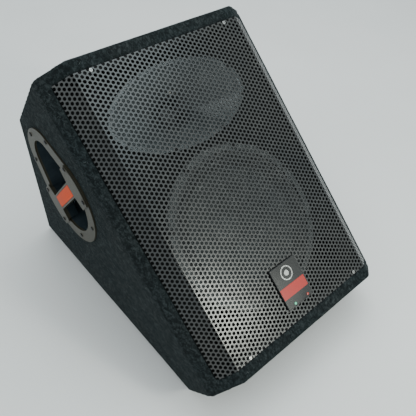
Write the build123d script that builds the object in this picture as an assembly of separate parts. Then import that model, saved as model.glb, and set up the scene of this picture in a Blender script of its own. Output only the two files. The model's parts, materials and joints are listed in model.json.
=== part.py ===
"""Active two-way wedge stage monitor: 12 inch woofer and elliptical horn behind a bent perforated grille.

Frame: +Z up, front towards -Y, +X to the right of someone facing the grille. The origin is under the
middle of the cabinet, on the floor. "Left" and "right" are as seen by someone facing the grille.
Angled pieces are drawn in three local frames:
  face   x right, y up the slope, z out of the grille; origin on the grille plane, mid height
  side   x into the cabinet along the grille's normal, y up the slope, z out of the right side panel
  rear   x right as seen from behind, y up, z out of the rear face
"""

from build123d import *
import os
from math import asin, cos, radians, sin, tan

# Cabinet, outside sizes over the carpet
WIDTH = 432.0
FACE_HEIGHT = 572.0
TOP_DEPTH = 208.0
TOE_DEPTH = 124.0
BAFFLE_ANGLE = 38.5
FOOT_HEIGHT = 7.0
REAR_REACH = 16.0
TOP_REAR_ROUND = 15.0
EDGE_ROUND = 5.0

# Boards and covering
CARPET = 2.0
BOARD = 20.0
SIDE_BOARD = 15.0
BAFFLE_SET_BACK = 42.0
CLEAT = 20.0
BATTEN = 10.0

# Grille and the front corners that follow it
GRILLE_FLAT = 338.0
GRILLE_SHEET = 1.5
GRILLE_GAP = 0.5
BEVEL_ANGLE = 40.0
BEVEL_DEPTH = 24.0
CORNER_ROUND = 8.0
GRILLE_SCREW_X = 138.0
GRILLE_SCREW_INSET = 4.0

# Badge
BADGE_SIZE = (62.0, 77.5)
BADGE_Y = -200.0
BADGE_PROUD = 4.0
BADGE_BACK = -3.6
BADGE_FLANGE = (69.0, 84.5)
BAND_HEIGHT = 20.0
BAND_Y = -210.0
EMBLEM_Y = -180.0
LIGHT_Y = -234.4
POWER_LIGHT_X = -12.5
LIMIT_LIGHT_X = 19.5
LIGHT_RADIUS = 2.5

# Woofer, on its own axis: radii, and depths behind the grille plane
WOOFER_Y = -77.0
WOOFER_RIM = 153.0
WOOFER_CUTOUT = 141.0
FLANGE_FRONT = 36.0
BASKET_SHEET = 2.0
SURROUND_OUTER = 138.0
CONE_RADIUS = 117.0
CONE_FRONT = 44.0
CONE_APEX = 112.0
COIL_RADIUS = 32.3
COIL_END = 146.0
SHELF_DEPTH = 114.0
TOP_PLATE_FRONT = 128.0
PLATE = 8.0
MAGNET_RADIUS = 78.0
MAGNET_HEIGHT = 20.0
WOOFER_SCREW_CIRCLE = 146.0
WOOFER_SCREWS = 8

# Horn, on its own axis
HORN_Y = 166.0
HORN_MOUTH = (136.5, 70.0)
HORN_RIM = 7.0
HORN_WALL = 3.0
THROAT_DEPTH = 98.0
THROAT_RADIUS = 16.0
DRIVER_RADIUS = 50.0
DRIVER_FRONT = 104.0
DRIVER_BACK = 136.0
HORN_SCREWS = 8

# Reflex ports, low on the baffle
PORT_SPOTS = [(-136.5, -208.5), (136.5, -208.5)]
PORT_RADIUS = 31.0
PORT_WALL = 2.0
PORT_FLANGE = 35.0
PORT_LIP = 2.0
PORT_LENGTH = 72.0

# Side handles, in the side frame around the handle's own centre
HANDLE_BELOW_TOP = 144.5
HANDLE_BEHIND_FACE = 176.0
HANDLE_SMALL = (51.3, 62.0)
HANDLE_LARGE = (-22.3, 91.0)
HANDLE_RIM = 23.0
HANDLE_PROUD = 3.0
HANDLE_DEPTH = 58.0
HANDLE_WALL = 3.0
HANDLE_DRAFT = 6.0
GRIP_PROUD = 6.0
GRIP_BACK = -18.0
GRIP_TOP = -3.9
GRIP_BOTTOM = -33.5
EAR_INNER = 52.0
EAR_TOP = 20.0
EAR_BOTTOM = -59.0
GRIP_PLATE = (99.0, 21.5)
HANDLE_SCREW_SPOTS = [(0, 105)] + [
    (side * a, b) for side in (-1, 1) for a, b in ((52, 71), (76, 14), (78, -49), (40, -93))
]
EAR_SCREW_ROWS = (14, -49)

# Amplifier module, in the rear frame
PANEL_SIZE = (300.0, 200.0)
PANEL_SHEET = 3.0
PANEL_OPENING = (272.0, 172.0)
SINK_SIZE = (108.0, 170.0)
SINK_X = -84.0
SINK_BASE = 5.0
FINS = 14
FIN_SHEET = 2.4
KNOB_ROW = 66.0
KNOB_SPOTS = {"level": 2.0, "bass": 48.0, "treble": 94.0}
KNOB_RADIUS = 9.0
KNOB_HEIGHT = 13.0
SWITCH_SPOT = (126.0, 66.0)
MIC_SPOT = (14.0, 6.0)
LINK_SPOT = (64.0, 6.0)
INLET_SPOT = (52.0, -56.0)
INLET_SIZE = (100.0, 48.0)
ROCKER_SPOT = (84.0, -56.0)
COVER_SIZE = (264.0, 164.0, 58.0)
PANEL_SCREW_SPOTS = [(a, b) for a in (-143, -70, 70, 143) for b in (-93, 93)] + [(-143, 0), (143, 0)]

# Feet
FOOT_RADIUS = 16.0
FOOT_X = 160.0
FOOT_FROM_ENDS = 55.0

# Screws: head radius, head height, shank radius, shank length, and clearance round a shank
BLACK_SCREW = (3.8, 1.8, 1.9, 14.0)
GRILLE_SCREW = (3.2, 1.6, 1.6, 22.0)
WOOFER_SCREW = (4.6, 3.0, 2.4, 20.0)
HORN_SCREW = (3.0, 1.8, 1.6, 16.0)
SHANK_GAP = 0.15

SLOPE_Y = cos(radians(BAFFLE_ANGLE))
SLOPE_Z = sin(radians(BAFFLE_ANGLE))
BEVEL_RUN = BEVEL_DEPTH / tan(radians(BEVEL_ANGLE))
INNER_X = WIDTH / 2 - CARPET - SIDE_BOARD
OPENING_HEIGHT = FACE_HEIGHT - 2 * (CARPET + BOARD)
GRILLE_HEIGHT = OPENING_HEIGHT - 2 * GRILLE_GAP


# ---------------------------------------------------------------- side outline and frames


def outline_corners():
    """Corners of the side outline as (y, z): top front, top rear, rear foot, toe foot, toe front."""
    toe_foot = (0.0, 0.0)
    toe_front = (-TOE_DEPTH * SLOPE_Z, TOE_DEPTH * SLOPE_Y)
    top_front = (toe_front[0] + FACE_HEIGHT * SLOPE_Y, toe_front[1] + FACE_HEIGHT * SLOPE_Z)
    top_rear = (top_front[0] + TOP_DEPTH * SLOPE_Z, top_front[1] - TOP_DEPTH * SLOPE_Y)
    rear_foot = (top_rear[0], 0.0)
    lowest_y = toe_front[0] + EDGE_ROUND * (SLOPE_Y + SLOPE_Z - 1)
    middle = (lowest_y + top_rear[0] + REAR_REACH) / 2
    corners = (top_front, top_rear, rear_foot, toe_foot, toe_front)
    return [(y - middle, z + FOOT_HEIGHT) for y, z in corners]


def inset(corners, distances):
    """Corners of a clockwise outline after edge i, from corner i to i + 1, moves in by distances[i]."""
    count = len(corners)
    normals = []
    for i, (y, z) in enumerate(corners):
        next_y, next_z = corners[(i + 1) % count]
        along = Vector(next_y - y, next_z - z).normalized()
        normals.append((along.Y, -along.X))
    moved = []
    for i, (y, z) in enumerate(corners):
        before, after = normals[i - 1], normals[i]
        in_before, in_after = distances[i - 1], distances[i]
        cross = before[0] * after[1] - before[1] * after[0]
        shift_y = (in_before * after[1] - in_after * before[1]) / cross
        shift_z = (before[0] * in_after - after[0] * in_before) / cross
        moved.append((y + shift_y, z + shift_z))
    return moved


OUTLINE = outline_corners()
WOOD_OUTLINE = inset(OUTLINE, [CARPET] * 5)
INSIDE_OUTLINE = inset(OUTLINE, [CARPET + BOARD] * 4 + [CARPET])
REAR_Y = OUTLINE[1][0]
REAR_MID_Z = (OUTLINE[1][1] + OUTLINE[2][1]) / 2

FACE_MIDDLE = ((OUTLINE[0][0] + OUTLINE[4][0]) / 2, (OUTLINE[0][1] + OUTLINE[4][1]) / 2)
FACE_PLANE = Plane(origin=(0, *FACE_MIDDLE), x_dir=(1, 0, 0), z_dir=(0, -SLOPE_Z, SLOPE_Y))
FACE = FACE_PLANE.location
HANDLE_MIDDLE = FACE_PLANE.from_local_coords(
    (WIDTH / 2, FACE_HEIGHT / 2 - HANDLE_BELOW_TOP, -HANDLE_BEHIND_FACE)
)
SIDE = Plane(origin=HANDLE_MIDDLE, x_dir=(0, SLOPE_Z, -SLOPE_Y), z_dir=(1, 0, 0)).location
REAR = Plane(origin=(0, REAR_Y, REAR_MID_Z), x_dir=(-1, 0, 0), z_dir=(0, 1, 0)).location


# ---------------------------------------------------------------- small helpers


def slab(corners, low_x, high_x):
    """A side outline carried across from low_x to high_x."""
    face = make_face(Polyline(*corners, close=True))
    return Pos(low_x, 0, 0) * extrude(Plane.YZ * face, high_x - low_x)


def box(size, middle, low, high):
    """A box of size (x, y) around middle (x, y), from z = low to z = high."""
    return Pos(middle[0], middle[1], (low + high) / 2) * Box(size[0], size[1], high - low)


def rounded_box(size, middle, low, high, radius):
    """The same box with rounded vertical corners."""
    flat = Pos(middle[0], middle[1], low) * RectangleRounded(size[0], size[1], radius)
    return extrude(flat, high - low)


def disc(radius, low, high):
    """A cylinder on the z axis from low to high."""
    return Pos(0, 0, (low + high) / 2) * Cylinder(radius, high - low)


def oval(half_width, half_height, low, high):
    """An elliptical cylinder on the z axis from low to high."""
    return extrude(Pos(0, 0, low) * Ellipse(half_width, half_height), high - low)


def turned(points):
    """A turned solid from its (radius, z) profile."""
    return revolve(Plane.XZ * make_face(Polyline(*points, close=True)), Axis.Z)


def joined(shapes):
    """Several solids as one shape."""
    return Part() + list(shapes)


def mirrored(shape):
    """The same shape on the other side of the cabinet."""
    return mirror(shape, about=Plane.YZ)


def both_sides(shape):
    return joined([shape, mirrored(shape)])


def screw(kind):
    """A pan head screw: head standing on z = 0, shank going down from it."""
    head_radius, head_height, shank_radius, length = kind
    head = disc(head_radius, 0, head_height)
    head = fillet(head.edges().sort_by(Axis.Z)[-1], head_height * 0.45)
    recess = Pos(0, 0, head_height) * (
        Box(head_radius, head_radius * 0.25, head_height) + Box(head_radius * 0.25, head_radius, head_height)
    )
    return head - recess + disc(shank_radius, -length, 0)


def at_spots(shape, spots, z):
    """Copies of a shape at (x, y) spots on the level z."""
    return [Pos(x, y, z) * shape for x, y in spots]


def shank_holes(kind, spots, low, high):
    """Clearance holes for a kind of screw at (x, y) spots."""
    return at_spots(disc(kind[2] + SHANK_GAP, low, high), spots, 0)


def ring_spots(radius, count, centre_y, turn=0.0):
    """Spots evenly round a circle whose centre is at (0, centre_y)."""
    angles = [radians(turn + 360 * i / count) for i in range(count)]
    return [(radius * cos(a), centre_y + radius * sin(a)) for a in angles]


# ---------------------------------------------------------------- cabinet bodies


def corner_cutters(grow):
    """Blocks that cut the bevelled front corners, each grown by grow."""
    far = WIDTH / 2 + 20
    side_depth = (WIDTH / 2 - GRILLE_FLAT / 2) * tan(radians(BEVEL_ANGLE))
    outline = Polyline(
        (GRILLE_FLAT / 2, 0),
        (WIDTH / 2, -side_depth),
        (WIDTH / 2, -2 * side_depth),
        (far, -2 * side_depth),
        (far, 20),
        (GRILLE_FLAT / 2, 20),
        close=True,
    )
    face = make_face(outline)
    corner = face.vertices().sort_by_distance((WIDTH / 2, -side_depth, 0))[0]
    face = fillet(corner, CORNER_ROUND)
    if grow:
        face = offset(face, grow, kind=Kind.INTERSECTION)
    return FACE * both_sides(extrude(Plane.XZ * face, FACE_HEIGHT, both=True))


def rounded_outline(shrink):
    """The side outline with its corners rounded, then shrunk evenly."""
    face = make_face(Polyline(*OUTLINE, close=True))
    top_rear = face.vertices().sort_by_distance((*OUTLINE[1], 0))[0]
    others = [v for v in face.vertices() if v != top_rear]
    face = fillet(others, EDGE_ROUND)
    top_rear = face.vertices().sort_by_distance((*OUTLINE[1], 0))[0]
    face = fillet(top_rear, TOP_REAR_ROUND)
    return offset(face, -shrink) if shrink else face


def cabinet_body(shrink):
    """The whole cabinet as one block, shrunk by the thickness of what covers it."""
    half = WIDTH / 2 - shrink
    return extrude(Plane.YZ * rounded_outline(shrink), half, both=True) - corner_cutters(shrink)


OUTER_BODY = cabinet_body(0)
WOOD_BODY = cabinet_body(CARPET)


def side_copies(shape):
    """A shape drawn in the side frame, on both sides of the cabinet."""
    return both_sides(SIDE * shape)


def handle_outline(grow):
    """Two discs of different size joined by their tangents, grown by grow."""
    (small_y, small), (large_y, large) = HANDLE_SMALL, HANDLE_LARGE
    lean = asin((large - small) / (small_y - large_y))
    small_r, large_r = small + grow, large + grow
    small_x, large_x = small_r * cos(lean), large_r * cos(lean)
    small_tangent_y = small_y + small_r * sin(lean)
    large_tangent_y = large_y + large_r * sin(lean)
    top = ThreePointArc((small_x, small_tangent_y), (0, small_y + small_r), (-small_x, small_tangent_y))
    left = Line((-small_x, small_tangent_y), (-large_x, large_tangent_y))
    bottom = ThreePointArc((-large_x, large_tangent_y), (0, large_y - large_r), (large_x, large_tangent_y))
    right = Line((large_x, large_tangent_y), (small_x, small_tangent_y))
    return make_face(Curve() + [top, left, bottom, right])


def handle_opening():
    """The hole that a handle cup drops through, in the side frame."""
    cut = extrude(handle_outline(-HANDLE_RIM + HANDLE_WALL + 2), 2 * SIDE_BOARD, both=True)
    return joined([cut, *shank_holes(BLACK_SCREW, HANDLE_SCREW_SPOTS, -2 * SIDE_BOARD, 5)])


def foot_spots():
    """Where the feet stand, as (x, y)."""
    rows = (OUTLINE[3][0] + FOOT_FROM_ENDS, OUTLINE[2][0] - FOOT_FROM_ENDS)
    return [(side * FOOT_X, y) for side in (-1, 1) for y in rows]


def boards():
    """Top, rear, floor and toe boards, mitred together, full width."""
    names = ("top_board", "rear_board", "floor_board", "toe_board")
    made = {}
    for i, name in enumerate(names):
        ring = [WOOD_OUTLINE[i], WOOD_OUTLINE[i + 1], INSIDE_OUTLINE[i + 1], INSIDE_OUTLINE[i]]
        made[name] = WOOD_BODY & slab(ring, -WIDTH / 2, WIDTH / 2)
    window = box(PANEL_OPENING, (0, 0), -4 * BOARD, BOARD)
    window = joined([window, *shank_holes(BLACK_SCREW, PANEL_SCREW_SPOTS, -BOARD, 5)])
    made["rear_board"] -= REAR * window
    made["floor_board"] -= joined(shank_holes(BLACK_SCREW, foot_spots(), 0, FOOT_HEIGHT + BOARD))
    return made


def side_panels():
    """Side panels, let in between the mitred boards, their front edges on the corner bevels."""
    front = CARPET + BEVEL_DEPTH
    outline = inset(OUTLINE, [CARPET + BOARD] * 4 + [front])
    panel = (slab(outline, INNER_X, INNER_X + SIDE_BOARD) & WOOD_BODY) - SIDE * handle_opening()
    return {"side_panel_right": panel, "side_panel_left": mirrored(panel)}


def carpets():
    """The covering: one piece round the boards and one on each side."""
    inside_x = GRILLE_FLAT / 2 + BEVEL_RUN
    front_opening = FACE * box((2 * inside_x, OPENING_HEIGHT), (0, 0), -BAFFLE_SET_BACK, 10)
    panel_opening = REAR * rounded_box(
        (PANEL_SIZE[0] + 1, PANEL_SIZE[1] + 1), (0, 0), -3 * CARPET, CARPET, 5
    )
    foot_holes = joined(shank_holes(BLACK_SCREW, foot_spots(), 0, FOOT_HEIGHT + BOARD))
    shell = OUTER_BODY - WOOD_BODY - front_opening - panel_opening - foot_holes
    side_zone = Pos(WIDTH / 2, 0, FACE_HEIGHT / 2) * Box(2 * CARPET, 3 * FACE_HEIGHT, 3 * FACE_HEIGHT)
    edge_width = WIDTH / 2 - inside_x + CARPET
    edge_zone = FACE * box(
        (edge_width, OPENING_HEIGHT), (WIDTH / 2 - edge_width / 2, 0), -3 * BEVEL_DEPTH, 0
    )
    zone = side_zone + edge_zone
    right = (shell & zone) - SIDE * handle_opening()
    return {
        "carpet_wrap": shell - both_sides(zone),
        "carpet_side_right": right,
        "carpet_side_left": mirrored(right),
    }


def baffle():
    """The front board that carries both drivers and the ports."""
    board = box(
        (2 * INNER_X, OPENING_HEIGHT), (0, 0), -BAFFLE_SET_BACK - BOARD, -BAFFLE_SET_BACK
    )
    low, high = -BAFFLE_SET_BACK - 2 * BOARD, 0
    board -= Pos(0, WOOFER_Y, 0) * disc(WOOFER_CUTOUT, low, high)
    board -= Pos(0, HORN_Y, 0) * oval(HORN_MOUTH[0] + HORN_WALL, HORN_MOUTH[1] + HORN_WALL, low, high)
    board -= joined(at_spots(disc(PORT_RADIUS + PORT_WALL, low, high), PORT_SPOTS, 0))
    board -= joined(shank_holes(WOOFER_SCREW, woofer_screw_spots(), low, high))
    board -= joined(shank_holes(HORN_SCREW, horn_screw_spots(), low, high))
    return {"baffle": FACE * board}


def baffle_cleats():
    """Glued strips behind the baffle's edges."""
    high = -BAFFLE_SET_BACK - BOARD
    low = high - CLEAT
    upright = box((CLEAT, OPENING_HEIGHT), (INNER_X - CLEAT / 2, 0), low, high)
    level_width = 2 * (INNER_X - CLEAT)
    level_y = OPENING_HEIGHT / 2 - CLEAT / 2
    levels = [box((level_width, CLEAT), (0, side * level_y), low, high) for side in (-1, 1)]
    return {"baffle_cleats": FACE * joined([both_sides(upright), *levels])}


# ---------------------------------------------------------------- grille and badge


def grille_screw_spots():
    y = GRILLE_HEIGHT / 2 - GRILLE_SCREW_INSET
    return [(side * GRILLE_SCREW_X, end * y) for side in (-1, 1) for end in (-1, 1)]


def grille_battens():
    """Strips under the grille's top and bottom edges, which its screws bite into."""
    width = GRILLE_FLAT - 8
    y = OPENING_HEIGHT / 2 - BATTEN / 2
    strips = [
        box((width, BATTEN), (0, side * y), -BAFFLE_SET_BACK, -GRILLE_SHEET) for side in (-1, 1)
    ]
    holes = shank_holes(GRILLE_SCREW, grille_screw_spots(), -BAFFLE_SET_BACK, 0)
    return {"grille_battens": FACE * (joined(strips) - joined(holes))}


def grille():
    """The bent grille sheet. Its perforation is not cut here."""
    flat = GRILLE_FLAT / 2
    end = flat + BEVEL_RUN
    bend = GRILLE_SHEET * tan(radians(BEVEL_ANGLE / 2))
    lip_x = GRILLE_SHEET * sin(radians(BEVEL_ANGLE))
    lip_z = GRILLE_SHEET * cos(radians(BEVEL_ANGLE))
    right = [
        (flat, 0),
        (end, -BEVEL_DEPTH),
        (end - lip_x, -BEVEL_DEPTH - lip_z),
        (flat - bend, -GRILLE_SHEET),
    ]
    left = [(-x, z) for x, z in reversed(right)]
    section = make_face(Polyline(*right, *left, close=True))
    sheet = extrude(Plane.XZ * section, GRILLE_HEIGHT / 2, both=True)
    cut_size = (BADGE_SIZE[0] + 1, BADGE_SIZE[1] + 1)
    sheet -= rounded_box(cut_size, (0, BADGE_Y), -5, 5, 3)
    sheet -= joined(shank_holes(GRILLE_SCREW, grille_screw_spots(), -5, 5))
    screws = at_spots(screw(GRILLE_SCREW), grille_screw_spots(), 0)
    return {"grille": FACE * sheet, "grille_screws": FACE * joined(screws)}


def badge():
    """Badge block in the grille, its coloured band, round emblem and indicator lights."""
    block = rounded_box(BADGE_SIZE, (0, BADGE_Y), BADGE_BACK, BADGE_PROUD, 2.5)
    block = chamfer(block.faces().sort_by(Axis.Z)[-1].edges(), 0.8)
    flange = rounded_box(BADGE_FLANGE, (0, BADGE_Y), BADGE_BACK, -GRILLE_SHEET - 0.1, 4)
    light_spots = [(POWER_LIGHT_X, LIGHT_Y), (LIMIT_LIGHT_X, LIGHT_Y)]
    board_front = -9.0
    posts = at_spots(disc(2.5, board_front, BADGE_BACK), [(-26, LIGHT_Y + 10), (26, LIGHT_Y + 10)], 0)
    band = box((BADGE_SIZE[0] - 2.4, BAND_HEIGHT), (0, BAND_Y), BADGE_PROUD - 0.8, BADGE_PROUD + 0.4)
    light_holes = joined(at_spots(disc(LIGHT_RADIUS + 0.1, -20, 20), light_spots, 0))
    body = joined([block, flange, *posts]) - band - light_holes
    ring = disc(13, BADGE_PROUD, BADGE_PROUD + 0.6) - disc(11, BADGE_PROUD, BADGE_PROUD + 0.6)
    dot = disc(5, BADGE_PROUD, BADGE_PROUD + 0.6)
    emblem = Pos(0, EMBLEM_Y, 0) * joined([ring, dot])
    lens = disc(LIGHT_RADIUS, board_front, BADGE_PROUD + 1)
    lens = fillet(lens.edges().sort_by(Axis.Z)[-1], 1.2)
    circuit = box((60, 26), (0, LIGHT_Y + 6), board_front - 1.6, board_front)
    parts = {
        "badge_body": body,
        "badge_band": band,
        "badge_emblem": emblem,
        "power_light": Pos(POWER_LIGHT_X, LIGHT_Y, 0) * lens,
        "limit_light": Pos(LIMIT_LIGHT_X, LIGHT_Y, 0) * lens,
        "indicator_board": circuit,
    }
    return {name: FACE * shape for name, shape in parts.items()}


# ---------------------------------------------------------------- woofer


def woofer_screw_spots():
    return ring_spots(WOOFER_SCREW_CIRCLE, WOOFER_SCREWS, WOOFER_Y, 22.5)


def basket():
    """Pressed steel basket with six windows."""
    back = BASKET_SHEET
    flange_back = -BAFFLE_SET_BACK
    shelf = -SHELF_DEPTH
    floor = -TOP_PLATE_FRONT
    shell = turned(
        [
            (WOOFER_RIM, flange_back + back),
            (WOOFER_RIM, flange_back),
            (137, flange_back),
            (123, -62),
            (72.8, shelf + 0.5),
            (70, shelf - back),
            (64, shelf - back),
            (64, floor),
            (35, floor),
            (35, floor + back),
            (62, floor + back),
            (62, shelf),
            (71, shelf),
            (121.2, -60.8),
            (134.5, flange_back + back),
        ]
    )
    windows = [Rot(0, 0, 60 * i) * box((80, 58), (98, 0), -110, -66) for i in range(6)]
    return shell - joined(windows)


def surround():
    """Two-roll fabric surround between the flange and the cone."""
    front = -BAFFLE_SET_BACK + BASKET_SHEET
    sheet = 0.8
    rolls = [(SURROUND_OUTER, 0), (131.4, 0), (128.5, 3.5), (126, 0.5), (123.5, 1.5), (121, 0.5)]
    land = [(r, cone_profile(r) + 0.1) for r in (118, 112)]
    under = [(r, front + z) for r, z in rolls] + land
    over = [(r, z + sheet) for r, z in reversed(under)]
    return turned(under + over)


def cone_profile(radius):
    """Depth of the cone's front surface at a radius."""
    return -CONE_APEX + (radius - COIL_RADIUS) * (CONE_APEX - CONE_FRONT) / (CONE_RADIUS - COIL_RADIUS)


def cone():
    sheet = 1.3
    front = cone_profile
    inner, outer = COIL_RADIUS, CONE_RADIUS
    return turned(
        [
            (inner, front(inner)),
            (outer, front(outer)),
            (outer, front(outer) - sheet),
            (inner, front(inner) - sheet),
        ]
    )


def dust_cap():
    """Shallow dome glued on the cone round the coil."""
    base = 36.0
    rise = 11.0
    sheet = 1.0
    foot = cone_profile(base) + 0.05
    radius = (base**2 + rise**2) / (2 * rise)
    ball = Sphere(radius) - Sphere(radius - sheet)
    return Pos(0, 0, foot + rise - radius) * ball & disc(base + 1, foot, foot + rise + 1)


def spider():
    """Corrugated centring disc between the coil and the basket's shelf."""
    sheet = 0.6
    land = -SHELF_DEPTH + 0.05
    radii = [COIL_RADIUS + 0.3, 38, 42, 46, 50, 54, 58, 62.5, 69]
    depths = [land - 1, land - 2.4, land + 0.4, land - 2.4, land + 0.4, land - 2.4, land + 0.4, land, land]
    under = list(zip(radii, depths))
    over = [(r, z + sheet) for r, z in reversed(under)]
    return turned(under + over)


def woofer():
    """The 12 inch driver, drawn on its own axis and then set in the baffle."""
    flange_front = -BAFFLE_SET_BACK + BASKET_SHEET
    gasket = disc(151, flange_front, -FLANGE_FRONT) - disc(SURROUND_OUTER + 0.3, -60, 0)
    holes = [Pos(x, y - WOOFER_Y, 0) * disc(WOOFER_SCREW[2] + 0.3, -60, 0) for x, y in woofer_screw_spots()]
    coil_inner = COIL_RADIUS - 0.6
    coil_top = -CONE_APEX - 1.4
    coil = disc(COIL_RADIUS, -COIL_END, coil_top) + disc(COIL_RADIUS + 0.7, -COIL_END, -TOP_PLATE_FRONT + 2)
    coil -= disc(coil_inner, -COIL_END - 1, 0)
    plate_back = -TOP_PLATE_FRONT - PLATE
    magnet_back = plate_back - MAGNET_HEIGHT
    pole = disc(coil_inner - 0.8, magnet_back, -TOP_PLATE_FRONT)
    back_plate = disc(70, magnet_back - PLATE, magnet_back) + pole - disc(10, -300, 0)
    strip_y = 113.3
    tags = [box((3, 16), (x, strip_y + 6), -85, -84) for x in (-9, 9)]
    terminals = box((30, 7), (0, strip_y), -92, -76) + joined(tags)
    parts = {
        "woofer_basket": basket() - joined(holes),
        "woofer_gasket": gasket - joined(holes),
        "woofer_surround": surround(),
        "woofer_cone": cone(),
        "woofer_dust_cap": dust_cap(),
        "woofer_spider": spider(),
        "woofer_voice_coil": coil,
        "woofer_top_plate": disc(65, plate_back, -TOP_PLATE_FRONT) - disc(COIL_RADIUS + 1.3, -300, 0),
        "woofer_magnet": disc(MAGNET_RADIUS, magnet_back, plate_back) - disc(42, -300, 0),
        "woofer_back_plate": back_plate,
        "woofer_terminals": terminals,
    }
    return {name: FACE * Pos(0, WOOFER_Y, 0) * shape for name, shape in parts.items()}


# ---------------------------------------------------------------- horn and compression driver


def horn_screw_spots():
    across, up = (axis + HORN_RIM / 2 for axis in HORN_MOUTH)
    angles = [radians(22.5 + 360 * i / HORN_SCREWS) for i in range(HORN_SCREWS)]
    return [(across * cos(a), HORN_Y + up * sin(a)) for a in angles]


def flare(grow):
    """The horn's flare as a solid plug, grown by grow."""
    across, up = HORN_MOUTH
    sections = [
        (-FLANGE_FRONT, across, up),
        (-50, across * 0.78, up * 0.78),
        (-64, across * 0.52, up * 0.54),
        (-80, across * 0.28, up * 0.34),
        (-THROAT_DEPTH, THROAT_RADIUS, THROAT_RADIUS - 0.01),
    ]
    return loft([Pos(0, 0, z) * Ellipse(a + grow, b + grow) for z, a, b in sections])


def horn():
    """Moulded elliptical flare with its rim and throat flange."""
    rim = oval(HORN_MOUTH[0] + HORN_RIM, HORN_MOUTH[1] + HORN_RIM, -BAFFLE_SET_BACK, -FLANGE_FRONT)
    throat = disc(32, -DRIVER_FRONT, -THROAT_DEPTH)
    body = rim + flare(HORN_WALL) + throat - flare(0)
    body -= disc(THROAT_RADIUS, -DRIVER_FRONT - 1, -THROAT_DEPTH + 1)
    magnet = disc(DRIVER_RADIUS, -DRIVER_BACK, -DRIVER_FRONT) - disc(THROAT_RADIUS, -200, 0)
    cover_back = -DRIVER_BACK - 26
    cover = disc(44, cover_back, -DRIVER_BACK)
    cover = fillet(cover.edges().sort_by(Axis.Z)[0], 8)
    cover -= disc(41, cover_back + 3, -DRIVER_BACK + 1)
    dome_foot = -DRIVER_BACK - 2
    dome = turned(
        [
            (30, dome_foot + 1),
            (22, dome_foot + 1),
            (12, dome_foot - 5),
            (0, dome_foot - 7),
            (0, dome_foot - 8),
            (12.5, dome_foot - 6),
            (22.5, dome_foot),
            (30, dome_foot),
        ]
    )
    parts = {
        "horn_flare": body,
        "hf_magnet": magnet,
        "hf_diaphragm": dome,
        "hf_cover": cover,
    }
    made = {name: Pos(0, HORN_Y, 0) * shape for name, shape in parts.items()}
    made["horn_flare"] -= joined(shank_holes(HORN_SCREW, horn_screw_spots(), -60, 0))
    woofer_screws = at_spots(screw(WOOFER_SCREW), woofer_screw_spots(), -FLANGE_FRONT)
    horn_screws = at_spots(screw(HORN_SCREW), horn_screw_spots(), -FLANGE_FRONT)
    made["baffle_screws"] = joined([*woofer_screws, *horn_screws])
    return {name: FACE * shape for name, shape in made.items()}


def ports():
    """Reflex port tubes, each with a thin flange on the baffle."""
    front, back = -BAFFLE_SET_BACK, -BAFFLE_SET_BACK - PORT_LENGTH
    tube = disc(PORT_RADIUS + PORT_WALL, back, front) + disc(PORT_FLANGE, front, front + PORT_LIP)
    tube -= disc(PORT_RADIUS, back - 1, 0)
    mouth = tube.edges().filter_by(GeomType.CIRCLE).sort_by(Axis.Z)[-2:]
    tube = fillet(mouth.sort_by(SortBy.RADIUS)[0], 1.5)
    return {"port_tubes": FACE * joined(at_spots(tube, PORT_SPOTS, 0))}


# ---------------------------------------------------------------- handles


def handle_cup():
    """Rim and drafted cup, one moulding."""
    lip = -HANDLE_RIM
    rim = extrude(handle_outline(0), HANDLE_PROUD) - extrude(handle_outline(lip), HANDLE_PROUD)
    outside = extrude(handle_outline(lip + HANDLE_WALL), -HANDLE_DEPTH, taper=HANDLE_DRAFT)
    inside = extrude(handle_outline(lip), -HANDLE_DEPTH + HANDLE_WALL, taper=HANDLE_DRAFT)
    holes = shank_holes(BLACK_SCREW, HANDLE_SCREW_SPOTS, -20, 20)
    return rim + outside - inside - joined(holes)


def grip_bar():
    """Bar across the cup with an ear over the rim at each end."""
    half = [
        (EAR_INNER, GRIP_TOP),
        (EAR_INNER + 5, EAR_TOP),
        (HANDLE_LARGE[1] + 5, EAR_TOP),
        (HANDLE_LARGE[1] + 5, EAR_BOTTOM),
        (EAR_INNER + 5, EAR_BOTTOM),
        (EAR_INNER, GRIP_BOTTOM),
    ]
    other = [(-x, y) for x, y in reversed(half)]
    shape = make_face(Polyline(*half, *other, close=True))
    over_rim = extrude(Pos(0, 0, HANDLE_PROUD) * (shape & handle_outline(-0.5)), GRIP_PROUD - HANDLE_PROUD)
    within = shape & handle_outline(-HANDLE_RIM - 3)
    in_cup = extrude(Pos(0, 0, GRIP_BACK) * within, HANDLE_PROUD - GRIP_BACK)
    middle = (0, (GRIP_TOP + GRIP_BOTTOM) / 2)
    recess = box((GRIP_PLATE[0] + 0.8, GRIP_PLATE[1] + 0.8), middle, GRIP_PROUD - 1.2, GRIP_PROUD + 1)
    bar = over_rim + in_cup - recess
    return bar - joined(shank_holes(BLACK_SCREW, HANDLE_SCREW_SPOTS, -20, 20))


def handles():
    middle = (0, (GRIP_TOP + GRIP_BOTTOM) / 2)
    plate = box(GRIP_PLATE, middle, GRIP_PROUD - 1.2, GRIP_PROUD + 0.3)
    made = {}
    for name, shape in (("handle_cup", handle_cup()), ("grip_bar", grip_bar()), ("grip_plate", plate)):
        placed = SIDE * shape
        made[name + "_right"] = placed
        made[name + "_left"] = mirrored(placed)
    return made


def handle_screws():
    screws = []
    for x, y in HANDLE_SCREW_SPOTS:
        seat = GRIP_PROUD if y in EAR_SCREW_ROWS else HANDLE_PROUD
        screws.append(Pos(x, y, seat) * screw(BLACK_SCREW))
    return both_sides(SIDE * joined(screws))


# ---------------------------------------------------------------- amplifier module


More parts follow.
